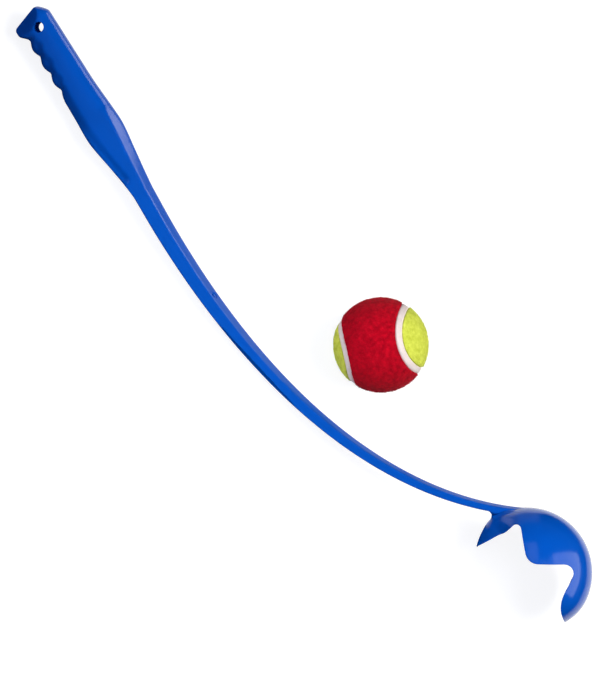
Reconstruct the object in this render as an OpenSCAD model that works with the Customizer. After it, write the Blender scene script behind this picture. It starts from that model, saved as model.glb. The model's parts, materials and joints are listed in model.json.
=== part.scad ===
// Hand ball thrower for dogs, with its felt ball, lying on the floor.
// The thrower is drawn in its own plane: x along the handle from the butt, y towards the inner side of the
// bend, z sideways. It is then laid down on the floor, where it rests on its handle, shaft and a cup lobe.

/* [Handle] */
// Length of the handle from the butt to the start of the shaft
handle_length = 132; // [120:1:150]
// Distance from the handle's middle to its back edge
grip_back = 11.2; // [9:0.1:14]
// Distance from the handle's middle to the crests of the finger side
grip_front = 11.4; // [10:0.1:14]
// Width of the handle from side to side
grip_width = 20; // [17:0.5:26]
// Extra swell of both edges at the shoulder
shoulder_swell = 0.9; // [0:0.1:2]
// Distance from the butt to the shoulder
shoulder_at = 88; // [80:1:95]
// Roundness of the handle's section, where 2 is an ellipse
grip_roundness = 2.7; // [2:0.1:4]

/* [Finger grooves] */
// Distance from the butt to the first groove
groove_start = 13.5; // [12:0.5:18]
// Distance from one groove to the next
groove_pitch = 12.35; // [10:0.05:14]
// Depth of a groove
groove_depth = 2.1; // [1:0.1:3]
// Spaces between grooves
groove_gaps = 3; // [1:1:4]

/* [Butt] */
// How far the flared butt stands out on the finger side
butt_flare = 2.4; // [0:0.1:4]
// Length over which the flare falls into the first groove
flare_run = 9; // [5:0.5:12]
// Width of the handle from side to side at the butt
butt_width = 11; // [8:0.5:16]
// Radius of the rounded butt edge
butt_round = 2.6; // [1:0.1:5]
// Radius of the rounded corner between the butt and the back edge
back_round = 9; // [3:0.1:10]
// Slant of the butt, in degrees
butt_slant = 15; // [0:1:18]
// How far the middle of the butt stands out past the handle's origin
butt_reach = 1.1; // [0:0.1:2]
// Diameter of the hang hole
hole_d = 6.6; // [4:0.1:8]
// Distance from the butt to the middle of the hang hole
hole_at = 10.4; // [9:0.1:12]
// Distance from the handle's middle to the middle of the hang hole
hole_offset = 1.2; // [-2:0.1:2]

/* [Shaft] */
// Length of the shaft's middle line, from the handle to its end on top of the cup
shaft_length = 324; // [260:1:360]
// Height of the section at the handle, in the plane of the bend
shaft_height = 13.8; // [11:0.1:16]
// Height of the section at the cup
neck_height = 5; // [4:0.1:6]
// Width of the section from side to side at the handle
shaft_width = 16; // [12:0.5:20]
// Width of the section from side to side at the cup
neck_width = 9; // [6:0.5:12]
// Slope of the ridged inner and outer faces, in degrees
ridge_slope = 25; // [10:1:35]
// Angle between the handle and the start of the shaft
shaft_dip = 4.15; // [0:0.05:6]
// Bend that is spread evenly along the shaft
even_bend = 30.25; // [20:0.25:34]
// Further bend that grows towards the cup
tip_bend = 28.65; // [16:0.05:32]

/* [Cup] */
// Outer radius of the cup
cup_r = 40.5; // [37:0.5:46]
// Wall of the cup
cup_wall = 2.7; // [2:0.1:4]
// How far the end of the shaft's middle line dips below the top of the cup
neck_sink = 2.6; // [2:0.1:4]
// How far the shaft runs on over the cup
neck_run = 12.6; // [8:0.1:14]
// Angle between the end of the shaft and the cup's rim line
cup_turn = 43.8; // [30:0.2:50]
// Back notch of the rim, along the rim line and above the middle of the cup
back_notch = [-27.9, 22.5]; // [-30:0.1:30]
// Rounding of the back notch
back_notch_r = 3.2; // [1:0.1:5]
// Tip of the side lobes
lobe_tip = [-5.4, 9.6]; // [-30:0.1:30]
// Rounding of the lobes
lobe_r = 8.5; // [4:0.1:12]
// Front notch of the rim
front_notch = [17.6, 31.3]; // [-40:0.1:40]
// Rounding of the front notch
front_notch_r = 6.3; // [3:0.1:8]
// Root of the front claw, at its inner edge
front_claw_root = [25.5, 5.2]; // [-40:0.1:40]
// Rounding of the front claw's inner edge
front_claw_r = 24; // [10:0.5:30]
// Slope of the front claw's edge towards its tip, in degrees
front_claw_slope = 28.5; // [20:0.5:35]
// Height of the back claw's root above the middle of the cup
claw_line = 8; // [4:0.5:12]
// Distance from the middle of the cup back to the claw's inner edge, at its root
claw_root = 27.6; // [24:0.1:32]
// Distance from the middle of the cup down to the tip of the back claw
claw_drop = 12.5; // [8:0.5:20]
// Angle by which the back claw is turned inwards
claw_bend = 15; // [0:1:18]

/* [Ball] */
// Diameter of the ball over the felt
ball_d = 60; // [54:0.5:68]
// Thickness of the felt
felt_thickness = 2.6; // [2:0.1:3.5]
// Wall of the rubber core
core_wall = 3.3; // [2.5:0.1:5]
// Width of the white seam
seam_width = 4.6; // [3:0.1:6]
// Depth of the seam below the felt
seam_sink = 1; // [0.4:0.1:1.5]
// Half of the angle that the felt covers at its waist
waist_angle = 38; // [34:1:44]
// Rounding of the felt's edges
felt_round = 1; // [0.2:0.1:1.5]
// Distance from the butt to the middle of the ball, along the thrower
ball_along = 300; // [200:1:360]
// Clear distance between the ball and the shaft
ball_gap = 20; // [12:1:60]
// Turn of the ball about the thrower's length
ball_roll = -29; // [-180:1:180]
// Turn of the ball about the floor's cross direction
ball_pitch = -12; // [-180:1:180]
// Turn of the ball about the upright
ball_yaw = 152; // [-180:1:180]

/* [Hidden] */
$fn = 96;

thrower_blue = "#0A52B5";
core_black = "#2B2B2B";
felt_red = "#B80519";
felt_yellow = "#D7E150";
seam_white = "#E1D7CD";

// Section of the handle and the shaft
section_sides = 32;
shaft_crispness = 14;

// Radius at angle a of a section with back edge hi, finger edge lo, half width half and ridge height ridge
function section_radius(a, hi, lo, half, ridge, crisp) =
    let (
        edge = cos(a) > 0 ? hi : lo,
        flat = abs(sin(a)) / half,
        roof = (abs(cos(a)) + ridge / half * abs(sin(a))) / edge
    )
    pow(pow(flat, crisp) + pow(roof, crisp), -1 / crisp);

function smooth(t) =
    let (u = min(1, max(0, t)))
    u * u * (3 - 2 * u);

function mix(a, b, t) = a + (b - a) * t;

// Handle: edges, width and section along its length
shaft_ridge = shaft_width / 2 * tan(ridge_slope);
groove_end = groove_start + groove_gaps * groove_pitch;
groove_run = groove_pitch / 2;
taper_run = handle_length - shoulder_at;
// Share of the taper by which the section turns six-sided before the handle narrows
ridge_lead = 1 / 3;

function taper(x) = smooth((x - shoulder_at) / taper_run);
function swell(x) = shoulder_swell * smooth((x - groove_end) / (shoulder_at - groove_end));
function groove(x) =
    x < groove_start || x > groove_end + groove_run ? 0
    : groove_depth * (1 - abs(sin(180 * (x - groove_start) / groove_pitch)));
function flare(x) =
    x < groove_start ? mix(-groove_depth, butt_flare, smooth((groove_start - x) / flare_run))
    : -groove(x);
function back_edge(x) = mix(grip_back + swell(x), shaft_height / 2, taper(x));
function front_edge(x) = mix(grip_front + swell(x) + flare(x), shaft_height / 2, taper(x));
function half_width(x) =
    mix(
        mix(butt_width, grip_width, smooth(x / groove_start)) / 2,
        shaft_width / 2,
        taper(x)
    );

// The butt's edges are rounded, so its rings draw in towards the end, and its slant fades out along the grip
lean_run = 2 * groove_start;
function round_inset(x, r) = x >= r ? 0 : r - sqrt(pow(r, 2) - pow(r - x, 2));

function handle_ring(x) = [
    for (i = [0 : section_sides - 1])
        let (
            a = 360 * i / section_sides,
            inset = round_inset(x, butt_round),
            blend = taper(x + ridge_lead * taper_run),
            r = section_radius(
                a,
                back_edge(x) - round_inset(x, back_round),
                front_edge(x) - inset,
                half_width(x) - inset,
                shaft_ridge * blend,
                mix(grip_roundness, shaft_crispness, blend)
            ),
            y = r * cos(a),
            lean = 1 - smooth(x / lean_run)
        )
        [x - lean * (tan(butt_slant) * y + butt_reach), y, r * sin(a)]
];

// Stations along the handle, closest together at the butt and the grooves
butt_steps = 4;
flare_steps = 6;
groove_steps = 8;
shoulder_steps = 3;
taper_steps = 10;
groove_stations = groove_gaps * groove_steps + groove_steps / 2;
handle_stations = concat(
    [for (i = [0 : butt_steps]) butt_round * (1 - cos(90 * i / butt_steps))],
    [for (i = [1 : flare_steps]) mix(butt_round, groove_start, i / flare_steps)],
    [for (i = [1 : groove_stations]) groove_start + groove_pitch * i / groove_steps],
    [for (i = [1 : shoulder_steps]) mix(groove_end + groove_run, shoulder_at, i / shoulder_steps)],
    [for (i = [1 : taper_steps]) mix(shoulder_at, handle_length, i / taper_steps)]
);
handle_rings = [for (x = handle_stations) handle_ring(x)];

// Skin over a row of rings of equal length, capped at both ends or running round in a loop
module skin(rings, loop = false) {
    count = len(rings);
    sides = len(rings[0]);
    caps = loop ? []
        : [
            [for (i = [0 : sides - 1]) i],
            [for (i = [sides - 1 : -1 : 0]) (count - 1) * sides + i]
        ];
    walls = [
        for (k = [0 : loop ? count - 1 : count - 2])
            for (i = [0 : sides - 1])
                let (
                    next = (k + 1) % count * sides,
                    side = (i + 1) % sides,
                    a = k * sides
                )
                each [[a + i, next + i, a + side], [a + side, next + i, next + side]]
    ];
    polyhedron(points = [for (ring = rings) each ring], faces = concat(caps, walls));
}

// Shaft: heading, middle line and section along its length
shaft_steps = 36;
function heading(t) = -shaft_dip + even_bend * t + tip_bend * pow(t, 3);
function step_along(t) = shaft_length / shaft_steps * [cos(heading(t)), sin(heading(t))];
shaft_line = [
    for (
        i = 0, p = [handle_length, 0];
        i <= shaft_steps;
        p = p + step_along((i + 0.5) / shaft_steps), i = i + 1
    )
        p
];
end_heading = heading(1);

function shaft_ring(i) =
    let (
        t = i / shaft_steps,
        half_h = mix(shaft_height, neck_height, t) / 2,
        half_w = mix(shaft_width, neck_width, t) / 2,
        turn = i == 0 ? 0 : heading(t),
        p = shaft_line[i]
    )
    [
        for (k = [0 : section_sides - 1])
            let (
                a = 360 * k / section_sides,
                r = section_radius(a, half_h, half_h, half_w, half_w * tan(ridge_slope), shaft_crispness)
            )
            [p.x - r * cos(a) * sin(turn), p.y + r * cos(a) * cos(turn), r * sin(a)]
    ];
shaft_rings = [for (i = [0 : shaft_steps]) shaft_ring(i)];

// Cup: its middle lies below the end line of the shaft
cup_drop = cup_r - neck_sink;
cup_reach = sqrt(pow(cup_r, 2) - pow(cup_drop, 2));
shaft_end = shaft_line[shaft_steps];
cup_middle = shaft_end
    + (cup_reach - neck_run) * [cos(end_heading), sin(end_heading)]
    + cup_drop * [sin(end_heading), -cos(end_heading)];
cup_angle = end_heading - cup_turn;

module at_cup() {
    translate([cup_middle.x, cup_middle.y, 0])
        rotate([0, 0, cup_angle])
            children();
}

// Outline with rounded corners from a list of [x, y, radius]
corner_steps = 8;
function corner_arc(before, corner, after) =
    let (
        p = [corner.x, corner.y],
        u = [before.x, before.y] - p,
        v = [after.x, after.y] - p,
        un = u / norm(u),
        vn = v / norm(v),
        half = acos(un * vn) / 2,
        middle = p + (un + vn) / norm(un + vn) * corner.z / sin(half),
        from = p + un * corner.z / tan(half) - middle,
        to = p + vn * corner.z / tan(half) - middle
    )
    corner.z == 0 ? [p]
    : [
        for (i = [0 : corner_steps])
            let (d = mix(from, to, i / corner_steps))
            middle + d / norm(d) * corner.z
    ];
function rounded(corners) =
    let (count = len(corners))
    [
        for (i = [0 : count - 1])
            each corner_arc(corners[(i + count - 1) % count], corners[i], corners[(i + 1) % count])
    ];

// Mouth of the cup seen from the side
mouth_far = 2 * cup_r;
notch_lean = 1;
claw_lap = 1.2;
mouth_corners = [
    [-mouth_far, claw_line + claw_lap, 0],
    [back_notch.x - notch_lean, claw_line + claw_lap, 0],
    [back_notch.x, back_notch.y, back_notch_r],
    [lobe_tip.x, lobe_tip.y, lobe_r],
    [front_notch.x, front_notch.y, front_notch_r],
    [front_claw_root.x, front_claw_root.y, front_claw_r],
    [mouth_far, front_claw_root.y - (mouth_far - front_claw_root.x) * tan(front_claw_slope), 0],
    [mouth_far, -mouth_far, 0],
    [-mouth_far, -mouth_far, 0]
];
mouth_outline = rounded(mouth_corners);

// Back claw: cut from the same shell, lapped into it, and turned inwards about the middle of its wall
claw_tip = [-sqrt(pow(cup_r, 2) - pow(claw_drop, 2)), -claw_drop];
claw_outline = [
    [-mouth_far, claw_line + 2 * claw_lap],
    [-claw_root, claw_line + 2 * claw_lap],
    [-claw_root, claw_line],
    claw_tip,
    [-mouth_far, -mouth_far]
];
claw_hinge = [-sqrt(pow(cup_r - cup_wall / 2, 2) - pow(claw_line, 2)), claw_line, 0];

// Shell turned about the upright through its top, from the top down past the claws' tips
shell_step = 5;
shell_low = -45;
function shell_arc(r, from, step, to) = [for (a = [from : step : to]) r * [cos(a), sin(a)]];

module cup_shell() {
    rotate([-90, 0, 0])
        rotate_extrude()
            polygon(concat(
                shell_arc(cup_r, 90, -shell_step, shell_low),
                shell_arc(cup_r - cup_wall, shell_low, shell_step, 90)
            ));
}

module main_shell() {
    difference() {
        cup_shell();
        linear_extrude(height = 3 * cup_r, center = true)
            polygon(mouth_outline);
    }
}

module back_claw() {
    translate(claw_hinge)
        rotate([0, 0, claw_bend])
            translate(-claw_hinge)
                intersection() {
                    cup_shell();
                    linear_extrude(height = 3 * cup_r, center = true)
                        polygon(claw_outline);
                }
}

// Floor under the thrower: the plane through the lowest points of the handle, the shaft and the cup's rim
handle_points = [for (ring = handle_rings) each ring];
shaft_points = [for (ring = shaft_rings) each ring];
rim_points = [
    for (q = mouth_outline)
        if (norm(q) < cup_r)
            [
                cup_middle.x + q.x * cos(cup_angle) - q.y * sin(cup_angle),
                cup_middle.y + q.x * sin(cup_angle) + q.y * cos(cup_angle),
                -sqrt(pow(cup_r, 2) - q * q)
            ]
];
settle_rounds = 5;

function lowest(points, up) =
    let (heights = [for (p = points) p * up])
    points[search(min(heights), heights)[0]];
function settle(up, rounds) =
    let (
        a = lowest(handle_points, up),
        b = lowest(shaft_points, up),
        c = lowest(rim_points, up),
        normal = cross(b - a, c - a)
    )
    rounds == 0 ? up : settle(normal / norm(normal), rounds - 1);

rim_line = [cos(cup_angle), sin(cup_angle), 0];
floor_up = settle([0, 0, 1], settle_rounds);
level_line = rim_line - (rim_line * floor_up) * floor_up;
floor_x = level_line / norm(level_line);
floor_y = cross(floor_up, floor_x);
function laid(p) = [p * floor_x, p * floor_y, p * floor_up];

// Ball on the floor beside the shaft, and the middle of the space that both cover
laid_handle = [for (p = handle_points) laid(p)];
laid_shaft = [for (p = shaft_points) laid(p)];
laid_rim = [for (p = rim_points) laid(p)];
laid_cup = laid([cup_middle.x, cup_middle.y, 0]);
shaft_side = max([for (p = laid_shaft) if (abs(p.x - ball_along) < ball_d / 2) p.y]);
ball_across = shaft_side + ball_gap + ball_d / 2;
low_x = min([for (p = laid_handle) p.x]);
high_x = laid_cup.x + cup_r;
low_y = min([for (p = concat(laid_handle, laid_shaft)) p.y]);
high_y = max(ball_across + ball_d / 2, laid_cup.y + cup_r);
floor_level = min([for (p = concat(laid_handle, laid_shaft, laid_rim)) p.z]);
middle = [(low_x + high_x) / 2, (low_y + high_y) / 2];

module lay_down() {
    multmatrix([
        concat(floor_x, -middle.x),
        concat(floor_y, -middle.y),
        concat(floor_up, -floor_level),
        [0, 0, 0, 1]
    ])
        children();
}

module at_ball() {
    translate([ball_along - middle.x, ball_across - middle.y, ball_d / 2])
        rotate([ball_roll, ball_pitch, ball_yaw])
            children();
}

// Seam of the ball: a curve on the unit sphere that parts it into two equal panels
seam_major = (1 + sin(waist_angle)) / 2;
seam_minor = 1 - seam_major;
seam_rise = 2 * sqrt(seam_major * seam_minor);
function seam_point(t) = [
    -(seam_major * sin(t) + seam_minor * sin(3 * t)),
    seam_major * cos(t) - seam_minor * cos(3 * t),
    seam_rise * cos(2 * t)
];
function seam_way(t) = [
    -(seam_major * cos(t) + 3 * seam_minor * cos(3 * t)),
    -seam_major * sin(t) + 3 * seam_minor * sin(3 * t),
    -2 * seam_rise * sin(2 * t)
];
// Point that lies beside the seam by the angle s, on the side of the first panel
function beside_seam(t, s) =
    let (
        way = seam_way(t),
        inward = cross(seam_point(t), way) / norm(way)
    )
    cos(s) * seam_point(t) + sin(s) * inward;

// Radii of the ball's layers, and the angles that the seam covers
ball_r = ball_d / 2;
core_r = ball_r - felt_thickness;
glue_line = 0.2;
skin_r = core_r + glue_line;
seam_half = seam_width / 2 / ball_r * 180 / PI;
felt_start = seam_half + glue_line / ball_r * 180 / PI;

// Felt panel: strips across the panel, from one seam to the other
panel_end = 87;
panel_strips = 44;
edge_share = 0.16;
edge_steps = 3;
face_steps = 9;
across_panel = concat(
    [for (i = [0 : edge_steps - 1]) -1 + edge_share * (1 - cos(90 * i / edge_steps))],
    [for (i = [0 : face_steps]) (1 - edge_share) * (2 * i / face_steps - 1)],
    [for (i = [edge_steps - 1 : -1 : 0]) 1 - edge_share * (1 - cos(90 * i / edge_steps))]
);
function edge_drop(v) =
    let (u = max(0, (abs(v) - 1 + edge_share) / edge_share))
    felt_round * (1 - sqrt(1 - u * u));
function felt_strip(t) =
    let (
        edge = beside_seam(t, felt_start),
        spread = asin(edge.y),
        centre = [edge.x, 0, edge.z] / norm([edge.x, edge.z]),
        rays = [for (v = across_panel) cos(v * spread) * centre + [0, sin(v * spread), 0]],
        last = len(rays) - 1
    )
    concat(
        [for (i = [0 : last]) (ball_r - edge_drop(across_panel[i])) * rays[i]],
        [for (i = [last : -1 : 0]) skin_r * rays[i]]
    );

module felt_panel() {
    skin([for (i = [0 : panel_strips]) felt_strip(panel_end * (2 * i / panel_strips - 1))]);
}

module second_panel() {
    rotate(a = 180, v = [1, -1, 0])
        felt_panel();
}

seam_steps = 96;
function seam_ring(t) =
    concat(
        [for (s = [1, 0, -1]) (ball_r - seam_sink) * beside_seam(t, s * seam_half)],
        [for (s = [-1, 0, 1]) skin_r * beside_seam(t, s * seam_half)]
    );

// Core half: its flat rim lies in the plane across the waist's axis
module core_half() {
    difference() {
        sphere(r = core_r);
        sphere(r = core_r - core_wall);
        translate([-ball_d, -ball_d, -2 * ball_d])
            cube(2 * ball_d);
    }
}

module handle() {
    color(thrower_blue)
        lay_down()
            difference() {
                skin(handle_rings);
                translate([hole_at, hole_offset, -grip_width])
                    cylinder(d = hole_d, h = 2 * grip_width);
            }
}

module shaft() {
    color(thrower_blue)
        lay_down()
            difference() {
                skin(shaft_rings);
                at_cup()
                    sphere(r = cup_r);
            }
}

module cup() {
    color(thrower_blue)
        lay_down()
            at_cup() {
                main_shell();
                back_claw();
            }
}

module core_half_upper() {
    color(core_black)
        at_ball()
            core_half();
}

module core_half_lower() {
    color(core_black)
        at_ball()
            mirror([0, 0, 1])
                core_half();
}

module red_felt() {
    color(felt_red)
        at_ball()
            felt_panel();
}

module yellow_felt() {
    color(felt_yellow)
        at_ball()
            second_panel();
}

module seam() {
    color(seam_white)
        at_ball()
            skin([for (i = [0 : seam_steps - 1]) seam_ring(360 * i / seam_steps)], loop = true);
}

handle();
shaft();
cup();
core_half_upper();
core_half_lower();
red_felt();
yellow_felt();
seam();
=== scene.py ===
# %% [markdown]
# # A dog ball thrower and its felt ball
# The thrower is one injection moulding in blue plastic: a grip with finger grooves, a long bent shaft and
# a thin cup with two claws and two lobes. The ball beside it has a red and a yellow felt panel and a white
# rubber seam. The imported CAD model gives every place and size, so it is loaded first and never moved.

# %% Load the frame
import json
import math

import bpy
import numpy as np
from mathutils import Matrix, Vector, noise


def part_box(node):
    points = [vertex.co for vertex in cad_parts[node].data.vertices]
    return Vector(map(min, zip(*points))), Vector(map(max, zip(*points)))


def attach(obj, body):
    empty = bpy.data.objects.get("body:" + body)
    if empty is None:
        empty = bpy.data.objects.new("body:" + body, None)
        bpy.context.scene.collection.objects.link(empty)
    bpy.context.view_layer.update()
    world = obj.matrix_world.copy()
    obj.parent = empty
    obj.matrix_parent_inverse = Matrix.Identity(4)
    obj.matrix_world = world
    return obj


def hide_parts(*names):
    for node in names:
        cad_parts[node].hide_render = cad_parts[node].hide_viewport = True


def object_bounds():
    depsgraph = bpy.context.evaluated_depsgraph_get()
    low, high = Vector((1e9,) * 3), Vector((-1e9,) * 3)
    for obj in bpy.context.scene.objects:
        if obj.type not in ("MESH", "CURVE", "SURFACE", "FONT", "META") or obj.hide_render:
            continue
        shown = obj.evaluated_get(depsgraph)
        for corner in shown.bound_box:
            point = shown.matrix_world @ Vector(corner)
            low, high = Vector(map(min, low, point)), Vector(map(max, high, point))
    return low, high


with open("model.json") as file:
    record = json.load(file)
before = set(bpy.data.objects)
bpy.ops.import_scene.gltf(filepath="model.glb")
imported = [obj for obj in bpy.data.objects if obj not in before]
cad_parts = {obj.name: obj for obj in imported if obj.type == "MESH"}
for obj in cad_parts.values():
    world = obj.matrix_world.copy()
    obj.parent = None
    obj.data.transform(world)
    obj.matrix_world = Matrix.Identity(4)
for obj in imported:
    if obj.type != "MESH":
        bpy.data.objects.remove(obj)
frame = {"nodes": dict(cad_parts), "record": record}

MM = 0.001
scene = bpy.context.scene
cad_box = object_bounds()
mounts = {mount["name"]: mount for mount in frame["record"]["mounts"]}
print("CAD box", [list(corner) for corner in cad_box])

# %% [markdown]
# The moulding has its own plane: x runs along the handle from the butt, y points to the inner side of the
# bend, and z is the direction in which the mould opened. A curved tube is easiest to think of as a middle
# line with a section at each station, so the middle line comes first. It is straight in the handle and then
# turns by a heading that grows along the shaft, and the small corner where the shaft starts is rounded.

# %% Middle line of the thrower, in millimetres
handle_length = 132.0
shaft_length = 324.0
shaft_dip = 4.15
even_bend = 30.25
tip_bend = 28.65
corner_run = 10.0
line_step = 0.5


def mix(a, b, t):
    return a + (b - a) * t


def smooth(t):
    u = np.clip(t, 0, 1)
    return u * u * (3 - 2 * u)


def shaft_share(s):
    return np.clip((s - handle_length) / shaft_length, 0, 1)


def heading(s):
    t = shaft_share(s)
    onset = np.clip((s - handle_length + corner_run) / (2 * corner_run), 0, 1)
    return np.radians(onset * (-shaft_dip + even_bend * t + tip_bend * t**3))


line_s = np.arange(0, handle_length + shaft_length + line_step, line_step)
line_h = heading(line_s[:-1] + line_step / 2)
line_x = np.concatenate([[0], np.cumsum(np.cos(line_h))]) * line_step
line_y = np.concatenate([[0], np.cumsum(np.sin(line_h))]) * line_step
shaft_end = handle_length + shaft_length
end_heading = float(heading(shaft_end))


def middle_line(s):
    return np.interp(s, line_s, line_x), np.interp(s, line_s, line_y)


print("shaft ends at", line_x[-1], line_y[-1], "heading", math.degrees(end_heading))

# %% [markdown]
# The frame says where that plane lies. The hang hole's mount gives one point of the plane and its upright,
# and the cup's mount gives a second point. Two points and an upright fix the whole placing, so the thrower
# needs no numbers of its own to lie on the floor.

# %% Place of the moulding on the floor
hole_x, hole_y = 10.4, 1.2
cup_r = 40.5
neck_sink = 2.6
neck_run = 12.6
cup_turn = math.radians(43.8)

cup_drop = cup_r - neck_sink
cup_reach = math.sqrt(cup_r**2 - cup_drop**2) - neck_run
cup_x = line_x[-1] + cup_reach * math.cos(end_heading) + cup_drop * math.sin(end_heading)
cup_y = line_y[-1] + cup_reach * math.sin(end_heading) - cup_drop * math.cos(end_heading)
cup_angle = end_heading - cup_turn

hole_place = Vector(mounts["hang_hole"]["pos_m"])
cup_place = Vector(mounts["ball_seat"]["pos_m"])
side_way = Vector(mounts["hang_hole"]["axis"]).normalized()
chord = (cup_place - hole_place).normalized()
chord_angle = math.atan2(cup_y - hole_y, cup_x - hole_x)
along_way = Matrix.Rotation(-chord_angle, 3, side_way) @ chord
across_way = side_way.cross(along_way)
axes = np.array([along_way, across_way, side_way])
butt_place = np.array(hole_place) - MM * (hole_x * axes[0] + hole_y * axes[1])


def on_floor(points):
    """Points of the moulding's own plane, in millimetres, as places in the frame, in metres."""
    return butt_place + MM * np.asarray(points) @ axes


print("cup middle off the frame by", np.linalg.norm(on_floor([cup_x, cup_y, 0]) - np.array(cup_place)) / MM, "mm")

# %% [markdown]
# The camera looks almost straight down on the moulding from far away, so that lines stay nearly parallel as
# in a product photograph. It leans to the right of the picture and a little up, so the hang hole shows as a
# lens. Its frame is 600 by 678 pixels.

# %% Camera
image_w = 600
pixels_per_mm = 1.60105
eye_distance = 2500.0
lean_right, lean_up = 0.135, 0.075
chord_slant = math.radians(46.928)
aim_right, aim_down = 168.16, 202.95

cup_way = Vector(math.cos(cup_angle) * axes[0] + math.sin(cup_angle) * axes[1])
cup_up = Vector(math.cos(cup_angle) * axes[1] - math.sin(cup_angle) * axes[0])
flat_right = math.cos(chord_slant) * cup_way + math.sin(chord_slant) * cup_up
flat_up = math.cos(chord_slant) * cup_up - math.sin(chord_slant) * cup_way
view_back = (Vector(axes[2]) + lean_right * flat_right + lean_up * flat_up).normalized()
image_right = (flat_right - flat_right.dot(view_back) * view_back).normalized()
image_up = view_back.cross(image_right)
aim = Vector(butt_place) + MM * (aim_right * image_right - aim_down * image_up)
eye = aim + MM * eye_distance * view_back

camera_data = bpy.data.cameras.new("product_camera")
camera = bpy.data.objects.new("product_camera", camera_data)
scene.collection.objects.link(camera)
camera_data.sensor_fit = "HORIZONTAL"
camera_data.lens = camera_data.sensor_width * eye_distance * pixels_per_mm / image_w
camera_data.clip_start = 0.05
turn = Matrix([image_right, image_up, view_back]).transposed().to_4x4()
camera.matrix_world = Matrix.Translation(eye) @ turn
scene.camera = camera
print("camera at", [round(v, 3) for v in eye], "lens", round(camera_data.lens, 1))

# %% [markdown]
# A helper rolls up a sheet: Blender's grid primitive gives the faces, and each of its points is put where a
# formula says. A tube whose section changes all the way can't be had from extrude, scale and turn alone,
# which is why the grid is placed point by point. Where the sheet's edges meet, they are merged.

# %% Rolled sheet helper
WELD = 1e-7


def choose(obj, *others):
    """Selects these objects and no more; the first one is the active one."""
    bpy.ops.object.select_all(action="DESELECT")
    for one in (obj, *others):
        one.select_set(True)
    bpy.context.view_layer.objects.active = obj


def edit(obj):
    choose(obj)
    bpy.ops.object.mode_set(mode="EDIT")
    bpy.ops.mesh.select_all(action="SELECT")


def done():
    bpy.ops.object.mode_set(mode="OBJECT")


def placed_grid(name, points):
    """A grid whose points lie at points[row][column], in metres."""
    rows, columns = points.shape[:2]
    bpy.ops.mesh.primitive_grid_add(x_subdivisions=columns - 1, y_subdivisions=rows - 1, size=1)
    obj = bpy.context.object
    obj.name = obj.data.name = name
    obj.data.vertices.foreach_set("co", points.reshape(-1))
    obj.data.update()
    return obj


def rolled_sheet(name, points):
    """A closed skin: the columns of points run round it and its end rows close."""
    obj = placed_grid(name, np.concatenate([points, points[:, :1]], axis=1))
    edit(obj)
    bpy.ops.mesh.remove_doubles(threshold=WELD)
    bpy.ops.mesh.normals_make_consistent(inside=False)
    done()
    return obj


def combine(obj, tool, operation):
    cut = obj.modifiers.new(operation, "BOOLEAN")
    cut.operation = operation
    cut.solver = "EXACT"
    cut.object = tool
    bpy.context.view_layer.objects.active = obj
    bpy.ops.object.modifier_apply(modifier=cut.name)
    bpy.data.objects.remove(tool)


def faired(obj, degrees):
    choose(obj)
    bpy.ops.object.shade_smooth_by_angle(angle=math.radians(degrees))


# %% [markdown]
# Along the grip the section is a rounded oblong, and along the shaft it has six sides: two flat flanks and
# two low roofs. One formula covers both, a rounded corner between flank and roof whose crispness grows
# along the taper, so the pale facet on the shaft starts as a point on the grip's back, as it does on the
# real one. Points are set closest together at the corners, so that these stay crisp.

# %% Sections along the grip and the shaft
grip_back, grip_front, grip_half = 11.2, 11.4, 10.0
shoulder_swell, back_swell, shoulder_at = 0.9, 1.5, 88.0
back_roundness, finger_roundness, shaft_crispness = 2.15, 2.7, 16.0
groove_start, groove_pitch, groove_depth, groove_gaps = 13.5, 12.35, 2.1, 3
butt_flare, flare_run, butt_round, butt_back_round = 2.4, 9.0, 1.8, 0.8
back_cut, back_cut_run = 5.5, 7.5
butt_slant, butt_reach = math.radians(15.5), 0.7
shaft_half, neck_half = 6.9, 2.5
flank_half, neck_flank = 8.0, 4.5
roof_start_slope, roof_slope, neck_slope, under_slope = (math.tan(math.radians(v)) for v in (30, 25, 15, 9))
roof_from, roof_start_height = 80.0, 13.6
ridge_lead = 1 / 3
ridge_soft = 0.05
cusp_soft = 0.16
roof_crispness = 26.0

groove_end = groove_start + groove_gaps * groove_pitch
taper_run = handle_length - shoulder_at


def taper(s):
    """From grip to shaft: mostly straight, so that the outline turns in clear corners."""
    t = np.clip((s - shoulder_at) / taper_run, 0, 1)
    return mix(t, smooth(t), 0.35)


def finger_edge(s):
    swing = np.sqrt(np.sin(np.pi * (s - groove_start) / groove_pitch) ** 2 + cusp_soft**2)
    groove = groove_depth * np.clip(1 + cusp_soft - swing, 0, 1)
    groove = np.where((s < groove_start) | (s > groove_end + groove_pitch / 2), 0, groove)
    rise = mix(-groove_depth, butt_flare, smooth((groove_start - s) / flare_run))
    return np.where(s < groove_start, rise, -groove)


def inset(s, r):
    return np.where(s >= r, 0, r - np.sqrt(np.clip(r**2 - (r - s) ** 2, 0, None)))


def tube_half(s):
    return mix(shaft_half, neck_half, shaft_share(s))


def flank(s):
    return mix(mix(grip_half, flank_half, taper(s)), neck_flank, shaft_share(s)) - inset(s, butt_round)


def back_edge(s):
    swell = back_swell * smooth((s - groove_end) / (shoulder_at - groove_end))
    corner = back_cut * np.clip(1 - s / back_cut_run, 0, 1) ** 1.25
    return mix(grip_back + swell, tube_half(s), taper(s)) - corner - inset(s, butt_back_round)


def front_edge(s):
    swell = shoulder_swell * smooth((s - groove_end) / (shoulder_at - groove_end))
    return mix(grip_front + swell + finger_edge(s), tube_half(s), taper(s)) - inset(s, butt_round)


def roof_share(s):
    return smooth((s - roof_from) / (handle_length - roof_from))


def roof_top(s):
    return np.maximum(mix(roof_start_height, tube_half(s), roof_share(s)), back_edge(s))


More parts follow.
